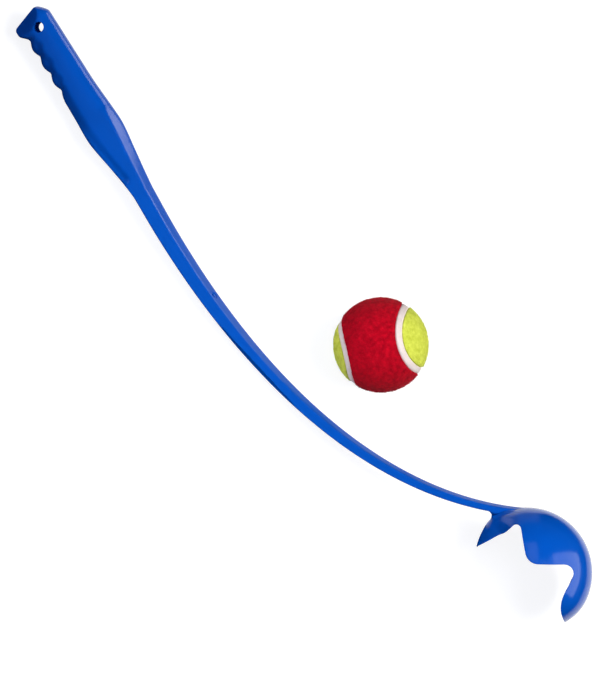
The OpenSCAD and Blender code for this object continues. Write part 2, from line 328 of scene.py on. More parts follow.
def roof_lean(s):
    return mix(mix(roof_start_slope, roof_slope, roof_share(s)), neck_slope, shaft_share(s))


def front_lean(a, s):
    """Slope of the outer side: steep below, where the shaft lies on the floor, and nearly square above."""
    return np.where(np.sin(a) > 0, under_slope, roof_slope) * taper(s + ridge_lead * taper_run)


def section_radius(a, s):
    """Distance from the middle line to the skin, in the direction a from the back edge."""
    side, up = np.abs(np.sin(a)), np.abs(np.cos(a))
    turning = taper(s + ridge_lead * taper_run)
    half = flank(s)
    soft_side = np.sqrt(side**2 + ridge_soft**2)
    crisp = mix(back_roundness, shaft_crispness, turning)
    oval = (side / half) ** crisp + (up / (back_edge(s) * (1 + 0.05 * turning))) ** crisp
    roof = (up + roof_lean(s) * soft_side) / roof_top(s)
    back = (oval ** (roof_crispness / crisp) + roof**roof_crispness) ** (-1 / roof_crispness)
    crisp = mix(finger_roundness, shaft_crispness, turning)
    slope = (up + front_lean(a, s) * soft_side) / front_edge(s)
    front = ((side / half) ** crisp + slope**crisp) ** (-1 / crisp)
    return np.where(np.cos(a) > 0, back, front)


roof_sides, flank_sides = 10, 30


def section_angles(s):
    """Angles round the section at each station, closest together at its corners."""
    half = flank(s)
    upper = np.arctan2(half, np.maximum(roof_top(s) - roof_lean(s) * half, 0.1))
    lower, under = (
        np.pi - np.arctan2(half, np.maximum(front_edge(s) - front_lean(side, s) * half, 0.1)) for side in (1.0, -1.0)
    )
    zero, straight = np.zeros_like(s), np.full_like(s, np.pi)
    corners = [zero, upper, lower, straight, 2 * np.pi - under, 2 * np.pi - upper, 2 * np.pi + zero]
    stretches = []
    for a, b, count in zip(corners, corners[1:], 2 * [roof_sides, flank_sides, roof_sides]):
        even = np.arange(count) / count
        share = mix(even, (1 - np.cos(np.pi * even)) / 2, 0.7)
        stretches.append(a[:, None] + (b - a)[:, None] * share)
    return np.concatenate(stretches, axis=1)


# %% [markdown]
# Details of the grip: the flank steps down to a lip along the fingers, which waves with the finger grooves. The
# step ends in a small slot where the grip turns into the shaft, and the butt is cut by a slanting facet on each
# flank. Both only move the flanks in towards the middle, so they are written as a change of z on the points.

# %% Finger step, butt facets and the skin of the grip and shaft
step_s = np.array([6.0, 21.0, 34.0, 68.0, 81.0, 98.0, 106.0, 115.0, 118.6])
step_y = np.array([-5.6, -5.5, -5.6, -7.1, -7.1, -5.7, -4.7, -3.5, -3.1])
step_depth, step_wide, step_wave = 2.0, 5.6, 1.0
slot_depth, slot_wide = 2.5, 5.0
step_fade, slot_fade = 12.0, 4.5
slot_from, slot_run = 75.0, 40.0
groove_ease, thin_edge = 3.0, 2.0
facet_from, facet_to = np.array([11.8, -8.3]), np.array([6.0, 6.7])
facet_slope, facet_soft = math.tan(math.radians(36)), 0.6
facet_end, facet_fade, facet_edge = 15.0, 9.0, 0.5


def finger_step(s, y, width):
    """How far the flank is stepped in; less where the grip is thin, so that its edge stays whole."""
    turn = 2 * np.pi * (s - groove_start) / groove_pitch
    grooves = smooth((s - groove_start) / groove_ease) * smooth((groove_end - s) / groove_ease)
    line = np.interp(s, step_s, step_y) + step_wave * grooves * (0.5 - np.cos(turn))
    slot = smooth((s - slot_from) / slot_run)
    run, depth = mix(step_wide, slot_wide, slot), mix(step_depth, slot_depth, slot)
    fade = smooth((s - step_s[0]) / step_fade) * smooth((step_s[-1] + slot_fade - s) / slot_fade)
    return depth * fade * smooth(0.5 + (line - y) / run) * width / (width + thin_edge)


def facet_drop(s, y):
    way = (facet_to - facet_from) / np.linalg.norm(facet_to - facet_from)
    beyond = (y - facet_from[1]) * way[0] - (s - facet_from[0]) * way[1]
    return facet_slope * (beyond + np.sqrt(beyond**2 + facet_soft**2)) / 2


def skin_points(s):
    s = np.asarray(s, dtype=float)
    angle = section_angles(s)
    column = s[:, None]
    r = section_radius(angle, column)
    y, z = r * np.cos(angle), r * np.sin(angle)
    width = np.abs(z)
    limit = grip_half - facet_drop(column, y)
    cut = (width + limit - np.sqrt((width - limit) ** 2 + facet_edge**2)) / 2
    width = mix(cut, width, smooth((column - facet_end) / facet_fade))
    z = np.sign(z) * (width - finger_step(column, y, width))
    lean = 1 - smooth(column / (2 * groove_start))
    x = -lean * (math.tan(butt_slant) * y + butt_reach)
    h = heading(column)
    cx, cy = middle_line(column)
    return np.stack([cx + x * np.cos(h) - y * np.sin(h), cy + x * np.sin(h) + y * np.cos(h), z], axis=-1)


fine_end, butt_rings = 28.0, 9
stretch_ends = [butt_round, groove_end + groove_pitch / 2, handle_length, shaft_end - fine_end, shaft_end]
stretch_rings = (84, 84, 164, 48)
stations = np.concatenate(
    [butt_round * (1 - np.cos(np.linspace(0, np.pi / 2, butt_rings)))]
    + [np.linspace(a, b, n)[1:] for a, b, n in zip(stretch_ends, stretch_ends[1:], stretch_rings)]
)
bar = skin_points(stations)
print("grip and shaft skin", bar.shape)

# %% [markdown]
# The cup is a spherical shell, cut by one outline as seen from the side: back claw, notch, lobe, notch and
# front claw. Its spine runs from the tip of one claw over the top to the tip of the other. At each station
# of the spine the shell is a thin arc with rounded edges, and how far that arc reaches to both sides comes
# from the outline. This way the rim is made of even faces, which a boolean cut wouldn't give. A short blur
# softens the outline in the front notch, where the real rim turns in one easy curve.

# %% Outline of the cup's mouth
cup_wall = 2.7
claw_line, claw_root, claw_drop, claw_bend = 8.0, 27.6, 12.5, math.radians(15)
claw_tip = (-math.sqrt(cup_r**2 - claw_drop**2), -claw_drop)
front_root = (25.5, 5.2)
front_slope = math.tan(math.radians(28.5))
mouth_far = 2 * cup_r
mouth_corners = [
    (*claw_tip, 0),
    (-claw_root, claw_line, 12.0),
    (-27.9, 22.5, 3.2),
    (-5.4, 9.6, 8.5),
    (17.6, 31.3, 6.3),
    (*front_root, 24.0),
    (mouth_far, front_root[1] - (mouth_far - front_root[0]) * front_slope, 0),
]


def rounded(corners, steps=14):
    outline = [np.array(corners[0][:2])]
    for before, corner, after in zip(corners, corners[1:], corners[2:]):
        p = np.array(corner[:2])
        u, v = np.array(before[:2]) - p, np.array(after[:2]) - p
        u, v = u / np.linalg.norm(u), v / np.linalg.norm(v)
        half = math.acos(u @ v) / 2
        middle = p + (u + v) / np.linalg.norm(u + v) * corner[2] / math.sin(half)
        start = p + u * corner[2] / math.tan(half) - middle
        end = p + v * corner[2] / math.tan(half) - middle
        for i in range(steps + 1):
            d = mix(start, end, i / steps)
            outline.append(middle + d / np.linalg.norm(d) * corner[2])
    outline.append(np.array(corners[-1][:2]))
    return np.array(outline)


mouth = rounded(mouth_corners)


def mouth_radius(a):
    """Distance from the middle of the cup to the outline, in the direction a from the top."""
    way = np.array([math.sin(a), math.cos(a)])
    p, q = mouth[:-1], mouth[1:]
    d = q - p
    cross = way[0] * d[:, 1] - way[1] * d[:, 0]
    with np.errstate(divide="ignore", invalid="ignore"):
        reach = (p[:, 0] * d[:, 1] - p[:, 1] * d[:, 0]) / cross
        place = (p[:, 0] * way[1] - p[:, 1] * way[0]) / cross
    hits = reach[(place >= 0) & (place <= 1) & (reach > 0)]
    return float(hits.max()) if len(hits) else cup_r


outline_from, outline_to, outline_steps = -107.9, 100, 1600
blur_reach, blur_steps, blur_width = 12, 185, 4.2
notch_from, notch_to, notch_fade = 36, 74, 10
fine_a = np.radians(np.linspace(outline_from, outline_to, outline_steps))
fine_rho = np.array([mouth_radius(a) for a in fine_a])
kernel = np.exp(-0.5 * (np.linspace(-blur_reach, blur_reach, blur_steps) / blur_width) ** 2)
soft_rho = np.convolve(fine_rho, kernel / kernel.sum(), "same")
fine_d = np.degrees(fine_a)
notch = smooth((fine_d - notch_from) / notch_fade) * smooth((notch_to - fine_d) / notch_fade)
fine_rho = mix(fine_rho, soft_rho, notch)
front_end = fine_a[np.nonzero(fine_rho < cup_r)[0][-1]]
back_end = math.atan2(claw_tip[0], claw_tip[1])
print("spine from", math.degrees(back_end), "to", math.degrees(front_end))

# %% [markdown]
# The claws' tips are rounded in plan, and both claws are bent inwards: their stations turn a little more than
# the sphere does, each about a hinge at its root, the back claw more than the front one. The back claw is also
# flatter than the sphere, like the neck that it grows from, so its stations are narrowed sideways.

# %% Skin of the cup
tip_round, tip_probe = 1.5, 5
edge_round, edge_of_wall, edge_of_reach, inner_least = 0.75, 0.45, 0.4, 0.45
arc_out, arc_in, arc_edge = 90, 36, 5
cup_rows = 230
bend_from, bend_run = math.radians(-60), math.radians(36)
front_bend, front_from, front_run = (math.radians(v) for v in (5, 62, 40))
flat_from, flat_run, claw_flat = math.radians(-50), math.radians(32), 0.5
tip_wall, tip_thin = 0.35, math.radians(16)
hinge = np.array([-math.sqrt((cup_r - cup_wall / 2) ** 2 - claw_line**2), claw_line])
front_hinge = (cup_r - cup_wall / 2) * np.array([math.sin(front_from), math.cos(front_from)])


def tip_slope(end):
    """How fast the half width of the shell grows from a claw's tip."""
    probe = end + np.sign(-end) * tip_probe / cup_r
    return cup_r * math.acos(min(1, np.interp(probe, fine_a, fine_rho) / cup_r)) / tip_probe


def half_reach(a):
    """Half width of the shell at a station, along the outer face."""
    rho = np.interp(a, fine_a, fine_rho)
    reach = cup_r * np.arccos(np.clip(rho / cup_r, -1, 1))
    for end in (back_end, front_end):
        d = cup_r * np.abs(a - end)
        slope = tip_slope(end)
        middle = tip_round / math.sin(math.atan(slope))
        meet = middle * math.cos(math.atan(slope)) ** 2
        cap = np.sqrt(np.clip(tip_round**2 - (d - middle) ** 2, 0, None))
        reach = np.where(d < meet, cap, reach)
    return reach


def tip_start(end):
    return (tip_round / math.sin(math.atan(tip_slope(end))) - tip_round) / cup_r


first, last = back_end + tip_start(back_end), front_end - tip_start(front_end)
spread = np.linspace(0, np.pi, cup_rows)
spine = mix(np.linspace(first, last, cup_rows), mix(first, last, (1 - np.cos(spread)) / 2), 0.6)


def cup_ring(a):
    reach = max(float(half_reach(a)), 1e-4)
    out = reach / cup_r
    wall = cup_wall * mix(tip_wall, 1, float(smooth((a - first) / tip_thin)))
    inner_r = cup_r - wall
    straight = math.acos(min(1.0, cup_r * math.cos(out) / inner_r))
    inn = max(straight, inner_least * out)
    e = min(edge_round, edge_of_wall * wall, edge_of_reach * reach)
    # The rim's face runs from the outer edge to the inner edge, with both edges rounded off
    face = np.array([
        [inner_r * math.cos(inn) - cup_r * math.cos(out), inner_r * math.sin(inn) - cup_r * math.sin(out)]
    ])
    face = face / max(np.linalg.norm(face), 1e-6)

    def rounded_edge(radius, angle, arc_way, face_way):
        corner = radius * np.array([[math.cos(angle), math.sin(angle)]])
        start, end = corner + e * arc_way, corner + e * face_way
        share = np.linspace(0, 1, arc_edge + 1)[:, None]
        return (1 - share) ** 2 * start + 2 * share * (1 - share) * corner + share**2 * end

    outer_way = np.array([[math.sin(out), -math.cos(out)]])
    inner_way = np.array([[math.sin(inn), -math.cos(inn)]])
    rim = np.concatenate([
        rounded_edge(cup_r, out, outer_way, face),
        rounded_edge(inner_r, inn, inner_way, -face)[::-1],
    ])
    outer = np.linspace(-(out - e / cup_r), out - e / cup_r, arc_out, endpoint=False)[1:]
    inner = np.linspace(inn - e / inner_r, -(inn - e / inner_r), arc_in, endpoint=False)[1:]
    flat = np.concatenate([cup_r * np.cos(outer), rim[:, 0], inner_r * np.cos(inner), rim[::-1, 0]])
    side = np.concatenate([cup_r * np.sin(outer), rim[:, 1], inner_r * np.sin(inner), -rim[::-1, 1]])
    ring = np.stack([flat * math.sin(a), flat * math.cos(a), side], axis=-1)
    ring[:, 2] *= mix(1, claw_flat, float(smooth((flat_from - a) / flat_run)))
    for middle, most, share in (
        (hinge, claw_bend, (bend_from - a) / bend_run),
        (front_hinge, -front_bend, (a - front_from) / front_run),
    ):
        bend = most * float(smooth(share))
        c, s = math.cos(bend), math.sin(bend)
        x, y = ring[:, 0] - middle[0], ring[:, 1] - middle[1]
        ring[:, 0], ring[:, 1] = middle[0] + c * x - s * y, middle[1] + s * x + c * y
    return ring


shell = np.array([cup_ring(a) for a in spine])
c, s = math.cos(cup_angle), math.sin(cup_angle)
shell = np.stack([
    cup_x + c * shell[..., 0] - s * shell[..., 1],
    cup_y + s * shell[..., 0] + c * shell[..., 1],
    shell[..., 2],
], axis=-1)
print("cup skin", shell.shape)

# %% [markdown]
# Where the neck runs into the cup the plastic is filled out by a round. Below the neck the two meet at a sharp
# angle, and both skins are moved along the middle of that angle onto one round, so it runs out smoothly on the
# neck and on the cup. Beside the neck they meet squarely, and there the cup's face alone is lifted.
# The neck's end is pressed out to the middle of the cup's wall, so nothing of it shows inside.

# %% Fillet between the neck and the cup
wedge_r, wedge_end, wedge_near, wedge_fade, wedge_probe = 2.9, 1.5, 11.0, 3, 5.0
beside_r, beside_reach, beside_top = 4.0, 5.0, 1.0
beside_from, beside_fade, beside_power = 1.5, 2, 8
aside_from, aside_run = 2.5, 5
belly_from, belly_run = 0.3, 1.5
neck_search, neck_share, neck_steps = 0.7, 0.97, 60


def unit(v):
    return v / np.maximum(np.linalg.norm(v, axis=-1, keepdims=True), 1e-9)


def beside_neck(points):
    """Height above the neck's middle line, rough distance to its skin, and the way down from it."""
    near = line_s > handle_length + neck_search * shaft_length
    xs, ys, ss = line_x[near], line_y[near], line_s[near]
    dx, dy = points[:, 0, None] - xs, points[:, 1, None] - ys
    k = np.argmin(dx**2 + dy**2, axis=1)
    row = np.arange(len(points))
    h = heading(ss[k])
    up = -dx[row, k] * np.sin(h) + dy[row, k] * np.cos(h)
    past = np.clip(dx[row, k] * np.cos(h) + dy[row, k] * np.sin(h), 0, None)
    r = section_radius(np.arctan2(points[:, 2], up), ss[k])
    apart = np.hypot(np.clip(np.hypot(up, points[:, 2]) - r, 0, None), past)
    return up, apart, np.stack([np.sin(h), -np.cos(h), 0 * h], axis=-1)


def sideways(points):
    """Nothing below the middle of the neck, growing to one at its sides."""
    return smooth((np.abs(points[:, 2]) - aside_from) / aside_run)


def wedge_lift(along, half):
    """How far a point on one side of a wedge moves along its middle to lie on the round."""
    d = np.clip(along, 0, wedge_r / math.tan(half))
    lift = wedge_r / math.sin(half) - np.sqrt(wedge_r**2 - (d * math.sin(half)) ** 2) - d * math.cos(half)
    return lift * np.clip(1 + along / wedge_end, 0, 1)


cup_point = np.array([cup_x, cup_y, 0])
outer_face = shell[:, : arc_out - 1]
touched = outer_face.reshape(-1, 3)
up, apart, down = beside_neck(touched)
out = unit(touched - cup_point)
share = np.clip((beside_reach - apart) / beside_reach, 0, 1)
lift = beside_r * (1 - np.sqrt(1 - share**2)) * smooth((beside_from - up) / beside_fade)
room = np.clip(beside_top - up, 1e-3, None)
lift = room * lift / (room**beside_power + lift**beside_power) ** (1 / beside_power)

neck_s = np.array([handle_length + neck_share * shaft_length])
under = np.linspace(math.pi / 2, math.pi, neck_steps)
under_r = section_radius(under, neck_s)
below = -up - np.interp(np.abs(touched[:, 2]), (under_r * np.sin(under))[::-1], (-under_r * np.cos(under))[::-1])
aside = np.abs(touched[:, 2]) + apart
nearest = np.argmin(np.abs(below) + aside)
corner = touched[nearest]
probe = touched[np.argmin(np.abs(below - wedge_probe) + np.abs(touched[:, 2]) + np.abs(apart - below))]
cup_side = unit((probe - corner) * (1, 1, 0))
neck_side = np.cross(down[nearest], [0, 0, 1])
middle_way = unit(cup_side + neck_side)
wedge_half = math.acos(np.dot(cup_side, neck_side)) / 2


def wedge_move(points, way):
    """Moves of skin points onto the round; they fade out to both sides of the neck."""
    rel = points - corner
    weight = smooth((wedge_near - np.linalg.norm(rel, axis=1)) / wedge_fade) * (1 - sideways(points))
    return middle_way * (wedge_lift(rel @ way, wedge_half) * weight)[:, None]


lift = lift * sideways(touched)
touched = touched + wedge_move(touched, cup_side) + out * lift[:, None]
shell[:, : arc_out - 1] = touched.reshape(outer_face.shape)
print("neck", under_r[0], "mm wide to one side,", under_r[-1], "mm deep below its middle line")

flat_bar = bar.reshape(-1, 3)
neck_up = beside_neck(flat_bar)[0]
flat_bar = flat_bar + wedge_move(flat_bar, neck_side) * smooth((-neck_up - belly_from) / belly_run)[:, None]
way = flat_bar - cup_point
deep = np.linalg.norm(way, axis=1) < cup_r - cup_wall / 2
flat_bar[deep] = cup_point + unit(way[deep]) * (cup_r - cup_wall / 2)
bar = flat_bar.reshape(bar.shape)
print("corner below the neck", corner, "opens", math.degrees(2 * wedge_half), "degrees")

# %% [markdown]
# Now the two skins become meshes. The butt and the neck's end close in a few rings that shrink to a point.
# The hang hole is drilled with a tool like a spool, a cylinder with flared ends, so that its edges come out
# rounded, and the cup is joined on by a boolean union, so the thrower is one closed skin.

# %% Thrower mesh
cap_shares = (0.75, 0.5, 0.25, 0.0)


def capped(rings):
    ends = []
    for ring in (rings[0], rings[-1]):
        middle = ring.mean(axis=0)
        ends.append([middle + share * (ring - middle) for share in cap_shares])
    return np.concatenate([np.array(ends[0])[::-1], rings, np.array(ends[1])])


thrower = rolled_sheet("thrower", np.clip(on_floor(capped(bar)), *cad_box))
cup = rolled_sheet("cup_skin", np.clip(on_floor(capped(shell)), *cad_box))


def turned(profile, middle, u, v, w, sides=40):
    """Rings of a lathe shape: radii along u and v, heights along w, in the moulding's own plane."""
    around = np.linspace(0, 2 * np.pi, sides, endpoint=False)
    return np.array([
        [middle + r * (math.cos(a) * u + math.sin(a) * v) + z * w for a in around] for r, z in profile
    ])


hole_r, hole_flare, flare_steps = 3.3, 0.7, 6
spool_half = grip_half
spool_profile = [(0.0, 2 * spool_half), (hole_r + hole_flare, 2 * spool_half)]
for k in range(flare_steps + 1):
    bend_share = math.pi / 2 * k / flare_steps
    spool_profile.append((
        hole_r + hole_flare * (1 - math.sin(bend_share)),
        spool_half - hole_flare * (1 - math.cos(bend_share)),
    ))
spool_profile += [(r, -z) for r, z in reversed(spool_profile)]
hole_middle = np.array([hole_x, hole_y, 0])
spool = turned(spool_profile, hole_middle, *np.eye(3))
combine(thrower, rolled_sheet("hole_tool", on_floor(spool)), "DIFFERENCE")
combine(thrower, cup, "UNION")
print("thrower faces", len(thrower.data.polygons))

# %% [markdown]
# Half way along the shaft's pale facet the mould's gate left its mark: the plastic came in there, and the
# sprue was broken off in a shallow round pocket. The pocket is cut with a turned tool that stands square on
# the facet, and a short rough stub is joined on in its middle.

# %% Gate mark
gate_s, gate_z, gate_r, gate_depth, gate_long, stub_r = 210.0, 3.9, 2.0, 0.6, 1.2, 1.0
gate_h, gate_lean = float(heading(gate_s)), math.atan(float(roof_lean(gate_s)))
gate_y = float(roof_top(gate_s)) - math.tan(gate_lean) * gate_z
gate_along = np.array([math.cos(gate_h), math.sin(gate_h), 0])
gate_up = np.array([-math.sin(gate_h), math.cos(gate_h), 0])
gate_out = math.cos(gate_lean) * gate_up + math.sin(gate_lean) * np.array([0, 0, 1])
gate_across = np.cross(gate_out, gate_along)
gate_middle = np.array([*middle_line(gate_s), gate_z]) + gate_y * gate_up
# Radius and height of each ring of the two tools
pocket_profile = [
    (0, 2), (gate_r + 0.5, 2), (gate_r + 0.4, 0.1), (gate_r + 0.1, -0.15),
    (gate_r - 0.1, 0.1 - gate_depth), (gate_r - 0.35, -gate_depth), (0, -gate_depth),
]
stub_profile = [(0, 0.1), (0.5 * stub_r, 0.2), (stub_r - 0.2, 0.05), (stub_r, -0.15), (stub_r + 0.1, -1), (0, -1)]
for profile, operation in ((pocket_profile, "DIFFERENCE"), (stub_profile, "UNION")):
    rings = turned(profile, gate_middle, gate_long * gate_along, gate_across, gate_out, sides=24)
    combine(thrower, rolled_sheet("gate_tool", on_floor(rings)), operation)
print("gate mark at", [round(float(v), 3) for v in on_floor(gate_middle)])

# %% [markdown]
# Booleans leave slivers where two skins cross at a low angle, so points closer than a hair are merged. Then the
# skin is made smooth, apart from real edges. The faces of the hang hole's wall are picked by their place,
# because the pin that formed the wall left it dull, and so it gets its own finish below.

# %% Finish of the skin
SLIVER = 3e-5
sharp_edge, wall_margin = 32, 0.05
edit(thrower)
bpy.ops.mesh.remove_doubles(threshold=SLIVER)
bpy.ops.mesh.dissolve_degenerate(threshold=SLIVER)
done()

WALL = 1
own = (np.array([face.center for face in thrower.data.polygons]) - butt_place) / MM @ axes.T
in_hole = np.hypot(own[:, 0] - hole_x, own[:, 1] - hole_y) < hole_r + wall_margin
faired(thrower, sharp_edge)
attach(thrower, "thrower")
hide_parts("handle", "shaft", "cup")
print("hole wall faces", int(in_hole.sum()))

# %% [markdown]
# The ball's seam is one closed curve, and each felt panel is a row of strips from one side of it to the
# other. The panels are soft: their edges are rounded and a little ragged and their faces lumpy.

# %% Seam curve and felt panels
ball_r, felt_thickness = 30.0, 2.6
seam_width, seam_sink = 4.8, 0.8
waist = math.radians(38)
ball_turn = [math.radians(v) for v in (-29, -12, 152)]
core_low, core_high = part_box("core_half_lower"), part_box("core_half_upper")
ball_place = Vector([
    (min(core_low[0][i], core_high[0][i]) + max(core_low[1][i], core_high[1][i])) / 2 for i in range(3)
])
ball_nudge = math.radians(-1.6)
turn_x, turn_y, turn_z = (Matrix.Rotation(angle, 3, name) for angle, name in zip(ball_turn, "XYZ"))
ball_axes = np.array(Matrix.Rotation(ball_nudge, 3, image_up) @ turn_z @ turn_y @ turn_x).T
major = (1 + math.sin(waist)) / 2
minor = 1 - major
rise = 2 * math.sqrt(major * minor)


def on_ball(points):
    return np.array(ball_place) + MM * np.asarray(points) @ ball_axes


def beside_seam(t, angle):
    """Points on the unit sphere beside the seam by an angle, on the red panel's side."""
    p = np.stack([
        -(major * np.sin(t) + minor * np.sin(3 * t)),
        major * np.cos(t) - minor * np.cos(3 * t),
        rise * np.cos(2 * t),
    ], axis=-1)
    way = np.stack([
        -(major * np.cos(t) + 3 * minor * np.cos(3 * t)),
        -major * np.sin(t) + 3 * minor * np.sin(3 * t),
        -2 * rise * np.sin(2 * t),
    ], axis=-1)
    inward = unit(np.cross(p, way))
    return np.cos(angle) * p + np.sin(angle) * inward


def lumps(points, size):
    return np.array([noise.noise(Vector(p / size)) for p in points])


seam_half = seam_width / 2 / ball_r
felt_rows, felt_columns = 120, 60
felt_end = math.radians(88)
felt_round, felt_shift = 1.0, np.array([17.0, 5.0, 0.0])
felt_lift, felt_ragged, ragged_rate = 0.22, 0.35, 0.9
lump, small_lump, small_share, other_place = 2.6, 1.1, 0.6, 40
nap_room, core_gap = 0.45, 0.3


def felt_points(flip, seed):
    t = np.linspace(-felt_end, felt_end, felt_rows)
    shift = seed * felt_shift
    rim = beside_seam(t, 0.0) * ball_r
    ragged = felt_ragged * np.array([noise.noise(Vector(p * ragged_rate + shift)) for p in rim])
    edge = beside_seam(t, (seam_half + ragged / ball_r)[:, None])
    spread = np.arcsin(edge[:, 1])
    centre = unit(edge * np.array([1, 0, 1]))
    v = np.linspace(-1, 1, felt_columns)
    fanned = v * spread[:, None]
    rays = np.cos(fanned)[..., None] * centre[:, None]
    rays = rays + np.stack([0 * fanned, np.sin(fanned), 0 * fanned], axis=-1)
    from_edge = (1 - np.abs(v)) * np.abs(spread[:, None]) * ball_r
    dip = inset(from_edge, felt_round)
    flat = (rays * ball_r).reshape(-1, 3) + shift
    lift = felt_lift * (lumps(flat, lump) + small_share * lumps(flat + other_place, small_lump)).reshape(dip.shape)
    outer = rays * (ball_r - nap_room - dip + lift)[..., None]
    inner = rays[:, ::-1] * (ball_r - felt_thickness + core_gap)
    rows = np.concatenate([outer, inner], axis=1)
    return -rows[..., [1, 0, 2]] if flip else rows


red_felt = rolled_sheet("red_felt_panel", on_ball(capped(felt_points(False, 1))))
yellow_felt = rolled_sheet("yellow_felt_panel", on_ball(capped(felt_points(True, 2))))

seam_t = np.linspace(0, 2 * np.pi, 240)
seam_profile = [(-1, -0.55), (-0.8, -0.1), (-0.4, 0.0), (0, 0.02), (0.4, 0.0), (0.8, -0.1), (1, -0.55)]
seam_rows = np.stack(
    [beside_seam(seam_t, side * seam_half) * (ball_r - seam_sink + high) for side, high in seam_profile]
    + [beside_seam(seam_t, side * seam_half) * (ball_r - felt_thickness + core_gap) for side in (1, 0, -1)],
    axis=1,
)
seam = rolled_sheet("rubber_seam", on_ball(seam_rows))
print("felt and seam faces", [len(piece.data.polygons) for piece in (red_felt, yellow_felt, seam)])

# %% [markdown]
# Felt is napped: short fibres stand out of it and lean all ways, which blurs the ball's outline. A strand
# system would be lost in the export, so each tuft is a slim closed pyramid of four faces that grows out of
# the panel. Thousands of them are too many for one operator each, so they are made as one mesh and joined.

# %% Nap of the felt
tuft_foot, tuft_root, tuft_low, tuft_high = 0.16, 0.25, 0.35, 0.95
tuft_lean, tuft_spread, floor_gap, face_out = 0.7, 0.6, 0.2, 0.027
tufts_each, soft_edge = 7000, 60


def napped(panel, count, seed):
    chance = np.random.default_rng(seed)
    middle = np.array(ball_place)
    faces = [f for f in panel.data.polygons if (np.array(f.center) - middle) @ np.array(f.normal) > face_out]
    area = np.array([f.area for f in faces])
    points, sides = [], []
    for pick in chance.choice(len(faces), count, p=area / area.sum()):
        corners = np.array([panel.data.vertices[i].co for i in faces[pick].vertices])
        share = chance.dirichlet(np.ones(len(corners)))
        root = share @ corners
        out = unit(root - middle)
        grow = unit(out + tuft_lean * chance.normal(size=3) * tuft_spread)
        tip = root + MM * chance.uniform(tuft_low, tuft_high) * grow
        if tip[2] < floor_gap * MM:
            continue
        u = unit(np.cross(out, chance.normal(size=3)))
        v = np.cross(out, u)
        first = len(points)
        for k in range(3):
            turn_k = 2 * math.pi * k / 3
            foot = math.cos(turn_k) * u + math.sin(turn_k) * v
            points.append(root - tuft_root * MM * out + MM * tuft_foot * foot)
        points.append(tip)
        sides += [(first + i, first + j, first + k) for i, j, k in ((0, 1, 3), (1, 2, 3), (2, 0, 3), (2, 1, 0))]
    mesh = bpy.data.meshes.new("tufts")
    mesh.from_pydata([tuple(p) for p in points], [], sides)
    tufts = bpy.data.objects.new("tufts", mesh)
    scene.collection.objects.link(tufts)
    choose(panel, tufts)
    bpy.ops.object.join()
    return len(points) // 4


for piece, node, slot, tuft_count, seed in (
    (red_felt, "red_felt", "felt_red", tufts_each, 3),
    (yellow_felt, "yellow_felt", "felt_yellow", tufts_each, 4),
    (seam, "seam", "seam_rubber", 0, 0),
):
    faired(piece, soft_edge)
    grown = napped(piece, tuft_count, seed) if tuft_count else 0
    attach(piece, "ball")
    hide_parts(node)
    print(piece.name, grown, "tufts")

# %% [markdown]
# Materials are node trees. Two helpers keep them short: one turns an sRGB hex colour into the linear
# numbers that Blender uses, and one adds a node with its settings and links. Four more are built on these,
# for what most finishes need: grain, a colour that wavers with it, a roughness that does, and fine relief.

# %% Material helpers
def linear(hex_colour):
    channels = [int(hex_colour[i : i + 2], 16) / 255 for i in (1, 3, 5)]
    return [c / 12.92 if c <= 0.04045 else ((c + 0.055) / 1.055) ** 2.4 for c in channels] + [1.0]


def add_node(tree, kind, settings, links):
    """A node with its settings; a name in links is an input, its value the output that feeds it."""
    node = tree.nodes.new(kind)
    for name, value in settings.items():
        if isinstance(name, str) and hasattr(node, name):
            setattr(node, name, value)
        else:
            node.inputs[name].default_value = value
    for name, source in links.items():
        tree.links.new(source, node.inputs[name])
    return node


def new_material(name, **sockets):
    material = bpy.data.materials.new(name)
    material.use_nodes = True
    tree = material.node_tree
    shader = tree.nodes["Principled BSDF"]
    for socket, value in sockets.items():
        shader.inputs[socket.replace("_", " ")].default_value = value
    place = tree.nodes.new("ShaderNodeTexCoord").outputs["Object"]
    return material, tree, shader, place


def wear(obj, *materials):
    obj.data.materials.clear()
    for material in materials:
        obj.data.materials.append(material)


def grain(tree, place, size, detail, **settings):
    """Noise whose patches have a size in millimetres, as a value from 0 to 1."""
    settings = {"Scale": 1 / (size * MM), "Detail": detail, **settings}
    return add_node(tree, "ShaderNodeTexNoise", settings, {"Vector": place}).outputs["Fac"]


def tint(tree, shader, share, first, second):
    """The base colour runs from the first colour to the second as the share grows."""
    colours = {"data_type": "RGBA", 6: linear(first), 7: linear(second)}
    mixed = add_node(tree, "ShaderNodeMix", colours, {"Factor": share})
    tree.links.new(mixed.outputs[2], shader.inputs["Base Color"])


def roughen(tree, shader, share, low, high):
    """The roughness runs from low to high as the share grows."""
    ranged = add_node(tree, "ShaderNodeMapRange", {"To Min": low, "To Max": high}, {"Value": share})
    tree.links.new(ranged.outputs["Result"], shader.inputs["Roughness"])


def emboss(tree, shader, height, strength, depth):
    """Fine relief that only the light sees, with its depth in millimetres."""
    bump = add_node(tree, "ShaderNodeBump", {"Strength": strength, "Distance": depth * MM}, {"Height": height})
    tree.links.new(bump.outputs["Normal"], shader.inputs["Normal"])


print("blue as linear numbers", [round(c, 3) for c in linear("#0052B8")])

# %% [markdown]
# The thrower is injection moulded polypropylene, coloured through with pigment. The polished mould gives it
# a clear gloss over a saturated blue, with a faint orange peel where the plastic shrank on cooling, and the
# pigment is never mixed quite evenly. Polypropylene has an IOR of 1.49. Its specular level is set below the
# default, because the photographed gloss is faint face on and strong only at low angles.

